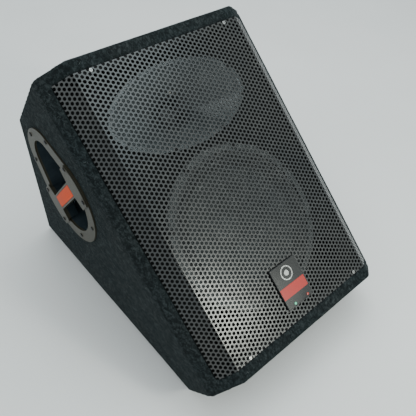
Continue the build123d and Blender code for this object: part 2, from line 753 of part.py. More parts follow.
def panel_holes():
    """Everything that is cut through the amplifier's panel."""
    cuts = at_spots(disc(3.6, -10, 10), [(x, KNOB_ROW) for x in KNOB_SPOTS.values()], 0)
    cuts += at_spots(disc(4.5, -10, 10), [SWITCH_SPOT], 0)
    cuts += at_spots(disc(12.1, -10, 10), [MIC_SPOT, LINK_SPOT], 0)
    cuts += [box((INLET_SIZE[0] - 6, INLET_SIZE[1] - 6), INLET_SPOT, -10, 10)]
    cuts += shank_holes(BLACK_SCREW, PANEL_SCREW_SPOTS, -10, 10)
    return joined(cuts)


def heat_sink():
    """Finned extrusion on the outside of the panel."""
    base_back = 1.0
    middle = (SINK_X, 0)
    base = box(SINK_SIZE, middle, base_back, base_back + SINK_BASE)
    pitch = (SINK_SIZE[0] - FIN_SHEET) / (FINS - 1)
    first = SINK_X - SINK_SIZE[0] / 2 + FIN_SHEET / 2
    fins = [
        box((FIN_SHEET, SINK_SIZE[1]), (first + pitch * i, 0), base_back + SINK_BASE, REAR_REACH)
        for i in range(FINS)
    ]
    return base + joined(fins)


def knob():
    """Fluted knob with its shaft and a pointer groove."""
    foot = 1.4
    body = disc(KNOB_RADIUS, foot, foot + KNOB_HEIGHT)
    body = chamfer(body.edges().sort_by(Axis.Z)[-1], 1.2)
    flutes = at_spots(disc(1.1, foot + 3, foot + 20), ring_spots(KNOB_RADIUS + 0.4, 18, 0, 10), 0)
    pointer = box((1.2, KNOB_RADIUS), (0, KNOB_RADIUS / 2 + 1), foot + KNOB_HEIGHT - 0.8, foot + 20)
    return body + disc(3, -12, foot) - joined(flutes) - pointer


def microphone_socket():
    """Three-hole panel socket with a recessed insert, and a pocket for its latch."""
    flange = rounded_box((28, 34), (0, 0), 1, 3, 3)
    body = flange + disc(12, -22, 1)
    body -= disc(9.6, -5, 5)
    contacts = at_spots(disc(1.5, -15, 0), ring_spots(4.6, 3, 0, 90), 0)
    pocket = box((8.6, 5.6), (0, 13.3), -0.5, 5)
    return body - joined(contacts) - pocket


def link_socket():
    """Three-pin panel socket."""
    flange = rounded_box((28, 34), (0, 0), 1, 3, 3)
    body = flange + disc(12, -22, 1) - disc(9.4, -14, 5)
    pins = at_spots(disc(1.2, -14, -5), ring_spots(4.6, 3, 0, 90), 0)
    return body + joined(pins)


def mains_inlet():
    """Inlet, fuse drawer pocket and switch frame in one moulding, in its own frame."""
    flange = rounded_box(INLET_SIZE, (0, 0), 1, 3, 4)
    body = flange + box((INLET_SIZE[0] - 8, INLET_SIZE[1] - 8), (0, 0), -30, 1)
    socket = rounded_box((25, 17), (-26, 8), -14, 5, 3)
    fuse_pocket = box((25, 9), (-26, -12.5), -20, 5)
    rocker_x = ROCKER_SPOT[0] - INLET_SPOT[0]
    rocker_pocket = box((15, 30), (rocker_x, 0), -16, 5)
    body = body - socket - fuse_pocket - rocker_pocket
    blades = [box((2, 5), (-26 + x, 8 + y), -14, -5) for x, y in ((-7, -2), (0, 3), (7, -2))]
    return body + joined(blades)


def fuse_drawer():
    """Drawer that pulls straight out, with a finger lip."""
    drawer = box((24.2, 8.2), (-26, -12.5), -18, 3.2)
    lip = box((14, 1.6), (-26, -10.5), 3.2, 4.8)
    hollow = box((19, 5.2), (-26, -12.5), -15, -2) + box((19, 9), (-26, -9.5), -15, -2)
    return drawer + lip - hollow


def rocker():
    """Switch rocker on a level axis, resting with its lower half pressed in."""
    tilt = 9
    half = 13.6
    outline = [(-half, 5), (0, 2.5), (half, 5), (half - 1, 0), (3, -7), (-3, -7), (-half + 1, 0)]
    face = make_face(Polyline(*outline, close=True))
    prism = extrude(Plane.YZ * face, 7, both=True)
    return Pos(ROCKER_SPOT[0] - INLET_SPOT[0], 0, 0) * Rot(tilt, 0, 0) * prism


def inner_module():
    """Cover, circuit board and transformer behind the panel."""
    width, height, depth = COVER_SIZE
    back = -2 - depth
    cover = box((width, height), (0, 0), back, -2) - box((width - 3, height - 3), (0, 0), back + 1.5, 0)
    board_level = -38.0
    board = box((150, 140), (52, 0), board_level, board_level + 1.6)
    chips = [(20, 40, 14, 20, 9), (60, 45, 8, 8, 5), (90, -30, 20, 12, 10), (100, 40, 12, 12, 6)]
    lumps = [box((w, h), (x, y), board_level - t, board_level) for x, y, w, h, t in chips]
    cans = at_spots(disc(8, board_level - 16, board_level), [(20, -40), (42, -40)], 0)
    ring = disc(38, back + 3, back + 37) - disc(12, back, 0)
    return {
        "amp_cover": cover,
        "circuit_board": board + joined(lumps + cans),
        "transformer": Pos(-85, 0, 0) * fillet(ring.edges().filter_by(GeomType.CIRCLE), 5),
    }


def amplifier():
    """The module in the rear board, with its controls and sockets."""
    panel = rounded_box(PANEL_SIZE, (0, 0), -CARPET, PANEL_SHEET - CARPET, 4) - panel_holes()
    parts = {
        "amp_panel": panel,
        "heat_sink": heat_sink(),
        "line_switch": Pos(*SWITCH_SPOT, 0) * disc(4.1, -8, 5),
        "mic_socket": Pos(*MIC_SPOT, 0) * microphone_socket(),
        "mic_latch": Pos(*MIC_SPOT, 0) * box((8, 5), (0, 13.3), 2.7, 6),
        "link_socket": Pos(*LINK_SPOT, 0) * link_socket(),
        "mains_inlet": Pos(*INLET_SPOT, 0) * mains_inlet(),
        "fuse_drawer": Pos(*INLET_SPOT, 0) * fuse_drawer(),
        "power_switch": Pos(*INLET_SPOT, 0) * rocker(),
    }
    for name, x in KNOB_SPOTS.items():
        parts["knob_" + name] = Pos(x, KNOB_ROW, 0) * knob()
    parts.update(inner_module())
    return {name: REAR * shape for name, shape in parts.items()}


def panel_screws():
    return REAR * joined(at_spots(screw(BLACK_SCREW), PANEL_SCREW_SPOTS, PANEL_SHEET - CARPET))


# ---------------------------------------------------------------- feet, screws and pads


def feet():
    """Rubber feet with a recessed screw in each."""
    foot = disc(FOOT_RADIUS, 0, FOOT_HEIGHT)
    foot = chamfer(foot.edges().sort_by(Axis.Z)[0], 1.5)
    foot = foot - disc(5.2, -1, 4) - disc(BLACK_SCREW[2] + SHANK_GAP, 0, 10)
    return {"rubber_feet": joined(at_spots(foot, foot_spots(), 0))}


def foot_screws():
    fixing = Pos(0, 0, 4) * Rot(180, 0, 0) * screw(BLACK_SCREW)
    return joined(at_spots(fixing, foot_spots(), 0))


def damping_pads():
    """Wadding under the top board and on the floor board."""
    thick = 20.0
    half = INNER_X - 25
    under = CARPET + BOARD
    top_level = FACE_HEIGHT / 2 - under
    top_middle = (0, top_level - thick / 2)
    top = FACE * box((2 * half, thick), top_middle, -175, -90)
    floor_level = FOOT_HEIGHT + under
    length = OUTLINE[2][0] - OUTLINE[3][0] - 260
    middle_y = (OUTLINE[2][0] + OUTLINE[3][0]) / 2 - 20
    floor = box((2 * half, length), (0, middle_y), floor_level, floor_level + thick)
    return {"damping_pads": joined([top, floor])}


def main():
    parts = {}
    for group in (
        boards(),
        side_panels(),
        carpets(),
        baffle(),
        baffle_cleats(),
        grille_battens(),
        grille(),
        badge(),
        woofer(),
        horn(),
        ports(),
        handles(),
        amplifier(),
        feet(),
        damping_pads(),
    ):
        parts.update(group)
    parts["black_screws"] = joined([handle_screws(), panel_screws(), foot_screws()])
    os.makedirs("parts", exist_ok=True)
    for name, shape in parts.items():
        export_step(shape, f"parts/{name}.step")


if __name__ == "__main__":
    main()
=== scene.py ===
import json
from math import asin, cos, pi, radians, sin, sqrt, tan

import bmesh
import bpy
import numpy as np
from mathutils import Matrix, Quaternion, Vector, noise


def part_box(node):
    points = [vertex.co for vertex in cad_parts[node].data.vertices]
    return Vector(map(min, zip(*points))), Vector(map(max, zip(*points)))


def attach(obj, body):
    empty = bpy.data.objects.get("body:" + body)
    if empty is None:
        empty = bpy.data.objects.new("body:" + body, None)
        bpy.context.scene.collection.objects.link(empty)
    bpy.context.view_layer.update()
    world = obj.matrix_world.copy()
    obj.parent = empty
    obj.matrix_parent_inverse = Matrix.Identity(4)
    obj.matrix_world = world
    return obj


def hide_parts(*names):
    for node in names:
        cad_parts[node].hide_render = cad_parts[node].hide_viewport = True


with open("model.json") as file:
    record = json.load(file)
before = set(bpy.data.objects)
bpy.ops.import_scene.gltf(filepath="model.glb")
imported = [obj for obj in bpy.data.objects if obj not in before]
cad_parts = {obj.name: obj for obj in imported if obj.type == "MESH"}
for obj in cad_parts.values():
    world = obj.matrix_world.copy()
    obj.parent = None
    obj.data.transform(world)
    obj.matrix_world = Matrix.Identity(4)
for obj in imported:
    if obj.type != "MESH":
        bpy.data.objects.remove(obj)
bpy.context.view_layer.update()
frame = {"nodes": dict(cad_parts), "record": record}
nodes = frame["nodes"]
CABINET = "cabinet"
MM = 0.001

# ---------------------------------------------------------------- driving dimensions, in millimetres

WIDTH = 432.0
FACE_HEIGHT = 572.0
TOP_DEPTH = 208.0
TOE_DEPTH = 124.0
BAFFLE_ANGLE = 38.5
TOP_REAR_ROUND = 15.0
COVER_THICK = 22.0

GRILLE_FLAT = 338.0
GRILLE_GAP = 0.5
SHEET = 1.5
BEVEL_ANGLE = radians(40)
BEVEL_DEPTH = 24.0
BEND_RADIUS = 2.5
HOLE_PITCH = 8.0
HOLE_RADIUS = 3.0
COLUMN_PITCH = HOLE_PITCH * sin(radians(60))
FIRST_ROW = -1.6
BADGE_SIZE = (62.0, 77.5)
BADGE_Y = -200.0

WOOFER_Y = -77.0

HANDLE_BELOW_TOP = 144.5
HANDLE_BEHIND_FACE = 176.0
HANDLE_SMALL = (51.3, 62.0)
HANDLE_LARGE = (-22.3, 91.0)

PANEL_SIZE = (300.0, 200.0)

# The felt turns LIP deep into the grille's pocket. HANDLE_CUT and PANEL_CUT are how far it runs in
# behind the rims of the handle and of the rear panel.
POCKET_DEPTH = 46.0
LIP = 42.0
HANDLE_CUT = 9.0
PANEL_CUT = 5.0
FELT_VOXEL = 0.0028
GROOVE_WIDTH = 2.6

CAMERA_AT = (-461.8, 35.9, 695.3)
CAMERA_AIM = (-83.1, -39.4, 0)
CAMERA_ROLL = 5.37
LIGHT_DISTANCE = 1700

SLOPE_Y = cos(radians(BAFFLE_ANGLE))
SLOPE_Z = sin(radians(BAFFLE_ANGLE))
OPENING = FACE_HEIGHT - 2 * COVER_THICK
BEVEL_RUN = BEVEL_DEPTH / tan(BEVEL_ANGLE)
CORNER_ZONE = 44.0
MITRE = COVER_THICK / (WIDTH / 2 - GRILLE_FLAT / 2 - BEVEL_RUN)

# ---------------------------------------------------------------- frames


def outline_corners():
    """Side outline as (y, z) in millimetres: top front, top rear, rear foot, toe foot, toe front."""
    rear_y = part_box("rear_board")[1].y / MM + 2
    foot_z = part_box("rubber_feet")[1].z / MM
    drop = (FACE_HEIGHT * SLOPE_Y + TOP_DEPTH * SLOPE_Z, FACE_HEIGHT * SLOPE_Z - TOP_DEPTH * SLOPE_Y)
    toe_front = (rear_y - drop[0], foot_z + TOE_DEPTH * SLOPE_Y)
    toe_foot = (toe_front[0] + TOE_DEPTH * SLOPE_Z, foot_z)
    top_front = (toe_front[0] + FACE_HEIGHT * SLOPE_Y, toe_front[1] + FACE_HEIGHT * SLOPE_Z)
    top_rear = (rear_y, toe_front[1] + drop[1])
    return [top_front, top_rear, (rear_y, foot_z), toe_foot, toe_front]


def frame_matrix(origin, x_axis, z_axis):
    """A matrix from a local frame in millimetres to the scene in metres."""
    x_axis, z_axis = Vector(x_axis).normalized(), Vector(z_axis).normalized()
    y_axis = z_axis.cross(x_axis)
    turn = Matrix((x_axis, y_axis, z_axis)).transposed().to_4x4()
    return Matrix.Translation(Vector(origin) * MM) @ turn @ Matrix.Scale(MM, 4)


OUTLINE = outline_corners()
FACE_Y = (OUTLINE[0][0] + OUTLINE[4][0]) / 2
FACE_Z = (OUTLINE[0][1] + OUTLINE[4][1]) / 2
FACE = frame_matrix((0, FACE_Y, FACE_Z), (1, 0, 0), (0, -SLOPE_Z, SLOPE_Y))
HANDLE_AT = (FACE @ Vector((WIDTH / 2, FACE_HEIGHT / 2 - HANDLE_BELOW_TOP, -HANDLE_BEHIND_FACE))) / MM
SIDE = frame_matrix(HANDLE_AT, (0, SLOPE_Z, -SLOPE_Y), (1, 0, 0))
REAR_MID_Z = (OUTLINE[1][1] + OUTLINE[2][1]) / 2
REAR = frame_matrix((0, OUTLINE[1][0], REAR_MID_Z), (-1, 0, 0), (0, 1, 0))


# ---------------------------------------------------------------- material helpers


class Shader:
    """A Principled material and short calls to add procedural nodes to it."""

    def __init__(self, name, colour, rough, **sockets):
        self.material = bpy.data.materials.new(name)
        self.material.use_nodes = True
        self.tree = self.material.node_tree
        self.shader = self.tree.nodes["Principled BSDF"]
        self.place = self.tree.nodes.new("ShaderNodeTexCoord").outputs["Object"]
        self.put("Base Color", (*colour, 1))
        self.put("Roughness", rough)
        for socket, value in sockets.items():
            self.put(socket.replace("_", " "), value)

    def put(self, socket, value):
        self.shader.inputs[socket].default_value = value

    def link(self, output, socket):
        self.tree.links.new(output, self.shader.inputs[socket])

    def add(self, kind, **values):
        """A node with its inputs set by name and its properties set by lower-case name."""
        made = self.tree.nodes.new(kind)
        for name, value in values.items():
            if name.islower():
                setattr(made, name, value)
            else:
                target = made.inputs[name.replace("_", " ")]
                if isinstance(value, bpy.types.NodeSocket):
                    self.tree.links.new(value, target)
                else:
                    target.default_value = value
        return made

    def stretched(self, scale):
        """Object coordinates scaled unevenly."""
        return self.add("ShaderNodeMapping", Vector=self.place, Scale=scale).outputs["Vector"]

    def noise(self, scale, detail=4.0, rough=0.55, at=None, distort=0.0):
        made = self.add("ShaderNodeTexNoise", Scale=scale, Detail=detail, Roughness=rough, Distortion=distort)
        self.tree.links.new(at or self.place, made.inputs["Vector"])
        return made.outputs["Fac"]

    def ramp(self, factor, stops):
        """Colour ramp with (position, colour) stops."""
        made = self.add("ShaderNodeValToRGB", Fac=factor)
        elements = made.color_ramp.elements
        while len(elements) < len(stops):
            elements.new(0.5)
        for element, (position, colour) in zip(elements, stops):
            element.position = position
            element.color = (*colour, 1)
        return made.outputs["Color"]

    def spread(self, factor, low, high, start=0.3, end=0.7):
        """A factor mapped from start..end to low..high."""
        values = {"From_Min": start, "From_Max": end, "To_Min": low, "To_Max": high}
        return self.add("ShaderNodeMapRange", Value=factor, **values).outputs["Result"]

    def mixed(self, factor, first, second, blend="MIX"):
        made = self.tree.nodes.new("ShaderNodeMix")
        made.data_type = "RGBA"
        made.blend_type = blend
        for socket, value in zip((made.inputs[0], made.inputs[6], made.inputs[7]), (factor, first, second)):
            if isinstance(value, bpy.types.NodeSocket):
                self.tree.links.new(value, socket)
            else:
                socket.default_value = value
        return made.outputs[2]

    def sum(self, first, second, weight):
        """first + weight * second."""
        part = self.add("ShaderNodeMath", operation="MULTIPLY")
        self.tree.links.new(second, part.inputs[0])
        part.inputs[1].default_value = weight
        whole = self.add("ShaderNodeMath", operation="ADD")
        self.tree.links.new(first, whole.inputs[0])
        self.tree.links.new(part.outputs[0], whole.inputs[1])
        return whole.outputs[0]

    def bump(self, height, strength, distance):
        made = self.add("ShaderNodeBump", Height=height, Strength=strength, Distance=distance)
        self.link(made.outputs["Normal"], "Normal")


def worn(name, colour, rough, grain, depth, contrast=0.25, light=None, **sockets):
    """A general finish: two-scale colour change, uneven roughness and a fine grain in the surface."""
    made = Shader(name, colour, rough, **sockets)
    broad = made.noise(14, 5, 0.6)
    fine = made.noise(grain, 3, 0.6)
    both = made.sum(broad, fine, 0.6)
    dark = tuple(c * (1 - contrast) for c in colour)
    bright = light or tuple(min(1, c * (1 + contrast)) for c in colour)
    made.link(made.ramp(both, [(0.55, dark), (0.8, colour), (1.1, bright)]), "Base Color")
    made.link(made.spread(broad, rough - 0.07, rough + 0.09), "Roughness")
    made.bump(fine, 0.5, depth)
    return made.material


# ---------------------------------------------------------------- materials


def carpet_material():
    """Needle-punched charcoal felt: matted fibres, faint patches and a soft sheen."""
    made = Shader("carpet_felt", (0.016, 0.019, 0.020), 0.95)
    made.put("Sheen Weight", 0.03)
    made.put("Sheen Roughness", 0.5)
    made.put("Sheen Tint", (0.75, 0.88, 0.92, 1))
    made.put("Specular IOR Level", 0.08)
    lay = made.stretched((1.0, 0.55, 0.8))
    patches = made.noise(9, 4, 0.6)
    tufts = made.noise(210, 5, 0.7, lay, 0.6)
    hairs = made.noise(900, 3, 0.75, lay, 1.2)
    height = made.sum(tufts, hairs, 0.7)
    shades = [
        (0.62, (0.0038, 0.0056, 0.0064)),
        (0.85, (0.0110, 0.0150, 0.0163)),
        (1.08, (0.036, 0.045, 0.048)),
    ]
    colour = made.ramp(height, shades)
    tone = made.ramp(patches, [(0.3, (0.80, 0.86, 0.86)), (0.7, (1.12, 1.05, 1.0))])
    made.link(made.mixed(1.0, colour, tone, "MULTIPLY"), "Base Color")
    made.bump(height, 0.9, 0.0011)
    return made.material


def grille_material():
    """Black powder coat with orange peel, rubbed thin here and there."""
    made = Shader("grille_coat", (0.03, 0.03, 0.03), 0.36)
    made.put("Coat Weight", 0.3)
    made.put("Coat Roughness", 0.16)
    broad = made.noise(7, 4, 0.6)
    peel = made.noise(1400, 2, 0.5)
    dust = made.noise(60, 6, 0.7)
    base = made.ramp(broad, [(0.3, (0.020, 0.023, 0.024)), (0.7, (0.036, 0.036, 0.034))])
    dusty = made.ramp(dust, [(0.56, (0.0, 0.0, 0.0)), (0.75, (0.035, 0.036, 0.034))])
    made.link(made.mixed(1.0, base, dusty, "ADD"), "Base Color")
    made.link(made.spread(dust, 0.24, 0.40), "Roughness")
    made.bump(peel, 0.35, 0.00015)
    return made.material


def ringed(name, colour, rough, centre, pitch, depth):
    """Pressed paper with concentric ridges round the woofer's axis."""
    made = Shader(name, colour, rough)
    shifted = made.add("ShaderNodeVectorMath", operation="SUBTRACT")
    made.tree.links.new(made.place, shifted.inputs[0])
    shifted.inputs[1].default_value = centre
    length = made.add("ShaderNodeVectorMath", operation="LENGTH")
    made.tree.links.new(shifted.outputs[0], length.inputs[0])
    turns = made.add("ShaderNodeMath", operation="MULTIPLY")
    made.tree.links.new(length.outputs["Value"], turns.inputs[0])
    turns.inputs[1].default_value = 2 * pi / pitch
    wave = made.add("ShaderNodeMath", operation="SINE")
    made.tree.links.new(turns.outputs[0], wave.inputs[0])
    pulp = made.noise(520, 5, 0.7)
    dark, pale = tuple(c * 0.7 for c in colour), tuple(c * 1.35 for c in colour)
    made.link(made.ramp(pulp, [(0.35, dark), (0.7, pale)]), "Base Color")
    made.bump(made.sum(pulp, wave.outputs[0], 0.8), 0.7, depth)
    return made.material


def board_material():
    """Ply painted black, worn through to pale wood in a few small chips."""
    made = Shader("painted_ply", (0.010, 0.010, 0.010), 0.75)
    made.put("Specular IOR Level", 0.1)
    lines = made.noise(30, 6, 0.6, made.stretched((1.0, 1.0, 18.0)), 1.5)
    chips = made.noise(55, 3, 0.6)
    paint = made.ramp(lines, [(0.35, (0.006, 0.006, 0.006)), (0.65, (0.014, 0.014, 0.014))])
    bare = made.ramp(lines, [(0.35, (0.34, 0.24, 0.14)), (0.6, (0.55, 0.43, 0.29))])
    made.link(made.mixed(made.spread(chips, 0.0, 1.0, 0.74, 0.76), paint, bare), "Base Color")
    made.bump(lines, 0.4, 0.0004)
    return made.material


def horn_material():
    """Glossy moulded plastic with dust mottling; its colour darkens to near black as painted shade deep in
    the throat.
    """
    made = Shader("horn_plastic", (0.08, 0.09, 0.095), 0.2)
    made.put("Coat Weight", 0.5)
    made.put("Coat Roughness", 0.08)
    dust = made.noise(45, 6, 0.65)
    grain = made.noise(700, 3, 0.6)
    depth = made.add("ShaderNodeVectorMath", operation="DOT_PRODUCT")
    made.tree.links.new(made.place, depth.inputs[0])
    depth.inputs[1].default_value = (0, -SLOPE_Z, SLOPE_Y)
    front = Vector((0, -SLOPE_Z, SLOPE_Y)).dot(FACE @ Vector((0, 0, -38)))
    # Painted shade: this mask blends from the plastic's colour at the mouth (4 mm behind it) to a near-black
    # colour 48 mm deep, standing for the throat's shade.
    near = made.spread(depth.outputs["Value"], 0.0, 1.0, front - 48 * MM, front - 4 * MM)
    # Painted shade: near-black colour for the deep throat, where little light reaches.
    painted_throat_shade = made.ramp(dust, [(0.35, (0.003, 0.0035, 0.004)), (0.7, (0.007, 0.008, 0.009))])
    dusty = made.ramp(dust, [(0.35, (0.085, 0.100, 0.105)), (0.7, (0.135, 0.155, 0.160))])
    made.link(made.mixed(near, painted_throat_shade, dusty), "Base Color")
    made.link(made.spread(dust, 0.16, 0.30), "Roughness")
    made.bump(grain, 0.3, 0.00012)
    return made.material


def handle_material():
    """Moulded handle plastic: textured brown-black outside, smooth within the cup, whose blue tint is painted
    reflection of the pale surroundings.
    """
    made = Shader("handle_plastic", (0.040, 0.034, 0.027), 0.42)
    made.put("Specular IOR Level", 0.25)
    grain = made.noise(1500, 3, 0.6)
    broad = made.noise(25, 4, 0.6)
    place = made.add("ShaderNodeSeparateXYZ", Vector=made.place)
    depth = made.add("ShaderNodeMath", operation="ABSOLUTE")
    made.tree.links.new(place.outputs["X"], depth.inputs[0])
    outside = made.spread(depth.outputs[0], 0.0, 1.0, (WIDTH / 2 - 2.2) * MM, (WIDTH / 2 - 0.6) * MM)
    rim = made.ramp(broad, [(0.35, (0.027, 0.024, 0.015)), (0.7, (0.041, 0.036, 0.023))])
    # Painted reflection: the cup's blue-black colour stands for the pale blue surroundings mirrored in its
    # glossy walls.
    cup = made.ramp(broad, [(0.35, (0.016, 0.024, 0.029)), (0.7, (0.034, 0.046, 0.055))])
    made.link(made.mixed(outside, cup, rim), "Base Color")
    made.link(made.spread(outside, 0.16, 0.42, 0.0, 1.0), "Roughness")
    made.bump(grain, 0.35, 0.0002)
    return made.material


def light_lens(name, colour, glow):
    """Clear moulded lens, faintly lit."""
    made = Shader(name, colour, 0.18, Coat_Weight=0.5)
    made.put("Emission Color", (*colour, 1))
    made.put("Emission Strength", glow)
    tint = made.noise(700, 3, 0.6)
    made.link(made.ramp(tint, [(0.3, tuple(c * 0.7 for c in colour)), (0.7, colour)]), "Base Color")
    made.bump(tint, 0.2, 0.0001)
    return made.material


def make_materials():
    """One finish for each of the record's material slots."""
    woofer_middle = FACE @ Vector((0, WOOFER_Y, -95))
    return {
        "carpet": carpet_material(),
        "board": board_material(),
        "baffle_paint": worn(
            "baffle_paint", (0.006, 0.0065, 0.0065), 0.75, 240, 0.0004, Specular_IOR_Level=0.15
        ),
        "grille_coat": grille_material(),
        "bright_screw": worn("bright_screw", (0.34, 0.34, 0.33), 0.3, 600, 0.0001, Metallic=1.0),
        "black_screw": worn("black_screw", (0.03, 0.03, 0.03), 0.4, 700, 0.0001, Metallic=0.6),
        "badge_black": worn("badge_black", (0.007, 0.008, 0.008), 0.26, 260, 0.00005, Coat_Weight=0.05),
        "badge_red": worn("badge_red", (0.42, 0.010, 0.004), 0.35, 320, 0.00005, 0.12, Coat_Weight=0.1),
        "badge_silver": worn("badge_silver", (0.34, 0.35, 0.34), 0.32, 500, 0.00006, Metallic=0.9),
        "green_lens": light_lens("green_lens", (0.10, 0.55, 0.32), 0.5),
        "red_lens": light_lens("red_lens", (0.45, 0.05, 0.03), 0.15),
        "circuit_green": worn("circuit_green", (0.02, 0.14, 0.05), 0.4, 300, 0.0002),
        "basket_steel": worn("basket_steel", (0.085, 0.09, 0.09), 0.35, 400, 0.0001, Metallic=0.3),
        "paper": ringed("cone_paper", (0.095, 0.105, 0.105), 0.55, woofer_middle, 0.0062, 0.0005),
        "treated_cloth": ringed("surround_cloth", (0.055, 0.06, 0.06), 0.4, woofer_middle, 0.0035, 0.0003),
        "spider_cloth": worn("spider_cloth", (0.50, 0.33, 0.10), 0.7, 900, 0.0003),
        "coil": worn("coil", (0.62, 0.32, 0.17), 0.35, 900, 0.0002, Metallic=0.9),
        "plated_steel": worn("plated_steel", (0.55, 0.50, 0.36), 0.35, 400, 0.0001, Metallic=0.9),
        "ferrite": worn("ferrite", (0.07, 0.07, 0.075), 0.6, 500, 0.0003),
        "black_rubber": worn("black_rubber", (0.02, 0.02, 0.02), 0.75, 500, 0.0003),
        "horn_plastic": horn_material(),
        "diaphragm": worn("diaphragm", (0.10, 0.10, 0.11), 0.35, 700, 0.0001, Metallic=1.0),
        "handle_plastic": handle_material(),
        "plate_red": worn("plate_red", (0.58, 0.055, 0.006), 0.5, 700, 0.0001, 0.15, Specular_IOR_Level=0.12),
        "panel_paint": worn("panel_paint", (0.022, 0.023, 0.025), 0.5, 1800, 0.0003),
        "black_aluminium": worn("black_aluminium", (0.028, 0.028, 0.030), 0.38, 900, 0.0001, Metallic=0.7),
        "galvanised": worn("galvanised", (0.52, 0.54, 0.55), 0.4, 60, 0.0002, Metallic=0.9),
        "copper_tape": worn("copper_tape", (0.55, 0.42, 0.10), 0.45, 300, 0.0003),
        "knob_plastic": worn("knob_plastic", (0.030, 0.030, 0.031), 0.45, 1200, 0.0002),
        "switch_plastic": worn("switch_plastic", (0.020, 0.020, 0.021), 0.3, 1200, 0.0001),
        "wadding": worn("wadding", (0.72, 0.72, 0.70), 0.95, 120, 0.003, 0.12),
    }


materials = make_materials()
slot_of = {entry["node"]: entry["material_slot"] for entry in frame["record"]["subparts"]}
for node_name, node in nodes.items():
    node.data.materials.clear()
    node.data.materials.append(materials[slot_of[node_name]])
port_plastic = worn("port_plastic", (0.010, 0.010, 0.010), 0.6, 500, 0.0002, Specular_IOR_Level=0.15)
nodes["port_tubes"].data.materials[0] = port_plastic


# ---------------------------------------------------------------- mesh helpers


def piece(name, mesh, body, slot, stands_for=()):
    """Links a mesh as a piece that rides on a body, with its slot's finish."""
    made = bpy.data.objects.new(name, mesh)
    bpy.context.scene.collection.objects.link(made)
    mesh.materials.clear()
    mesh.materials.append(materials[slot])
    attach(made, body)
    if stands_for:
        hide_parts(*stands_for)
    return made


def baked(made):
    """Applies an object's modifiers to its mesh."""
    graph = bpy.context.evaluated_depsgraph_get()
    mesh = bpy.data.meshes.new_from_object(made.evaluated_get(graph), depsgraph=graph)
    made.modifiers.clear()
    made.data = mesh
    return made


def temporary(name, mesh):
    made = bpy.data.objects.new(name, mesh)
    bpy.context.scene.collection.objects.link(made)
    return made


def prism(name, points, direction, low, high):
    """A closed prism: 3-D points of one outline carried along direction from low to high."""
    mesh = bpy.data.meshes.new(name)
    direction = Vector(direction)
    count = len(points)
    verts = [Vector(p) + direction * low for p in points] + [Vector(p) + direction * high for p in points]
    faces = [list(range(count)), [count + i for i in reversed(range(count))]]
    faces += [[i, count + i, count + (i + 1) % count, (i + 1) % count] for i in range(count)]
    mesh.from_pydata(verts, [], faces)
    build = bmesh.new()
    build.from_mesh(mesh)
    bmesh.ops.recalc_face_normals(build, faces=build.faces)
    build.to_mesh(mesh)
    build.free()
    return mesh


def soften(node_name, width, segments=3, angle=32):
    """Rounds the sharp edges of a carried-over CAD node with modifiers."""
    node = nodes[node_name]
    weld = node.modifiers.new("weld", "WELD")
    weld.merge_threshold = 0.00002
    bevel = node.modifiers.new("round", "BEVEL")
    bevel.width = width * MM
    bevel.segments = segments
    bevel.limit_method = "ANGLE"
    bevel.angle_limit = radians(angle)
    smooth_by_angle(node.data)
    even = node.modifiers.new("even", "WEIGHTED_NORMAL")
    even.keep_sharp = True


def smooth_by_angle(mesh, angle=35):
    """Smooth shading except over edges sharper than angle."""
    for polygon in mesh.polygons:
        polygon.use_smooth = True
    mesh.set_sharp_from_angle(angle=radians(angle))


# ---------------------------------------------------------------- perforated grille


def bent(s, y, depth):
    """A point of the flat sheet, s across and y up, after both sides are bent back; depth is inwards."""
    side = 1 if s >= 0 else -1
    s = abs(s)
    arc_start = GRILLE_FLAT / 2 - BEND_RADIUS * tan(BEVEL_ANGLE / 2)
    angle = min(max((s - arc_start) / BEND_RADIUS, 0), BEVEL_ANGLE)
    x = min(s, arc_start) + BEND_RADIUS * sin(angle)
    z = -BEND_RADIUS * (1 - cos(angle))
    straight = s - arc_start - BEND_RADIUS * BEVEL_ANGLE
    if straight > 0:
        x += straight * cos(BEVEL_ANGLE)
        z -= straight * sin(BEVEL_ANGLE)
    return Vector((side * (x - depth * sin(angle)), y, z - depth * cos(angle)))


def sheet_half_length():
    """Half of the sheet's length across, before it is bent."""
    arc_start = GRILLE_FLAT / 2 - BEND_RADIUS * tan(BEVEL_ANGLE / 2)
    left = BEVEL_DEPTH - BEND_RADIUS * (1 - cos(BEVEL_ANGLE))
    return arc_start + BEND_RADIUS * BEVEL_ANGLE + left / sin(BEVEL_ANGLE)


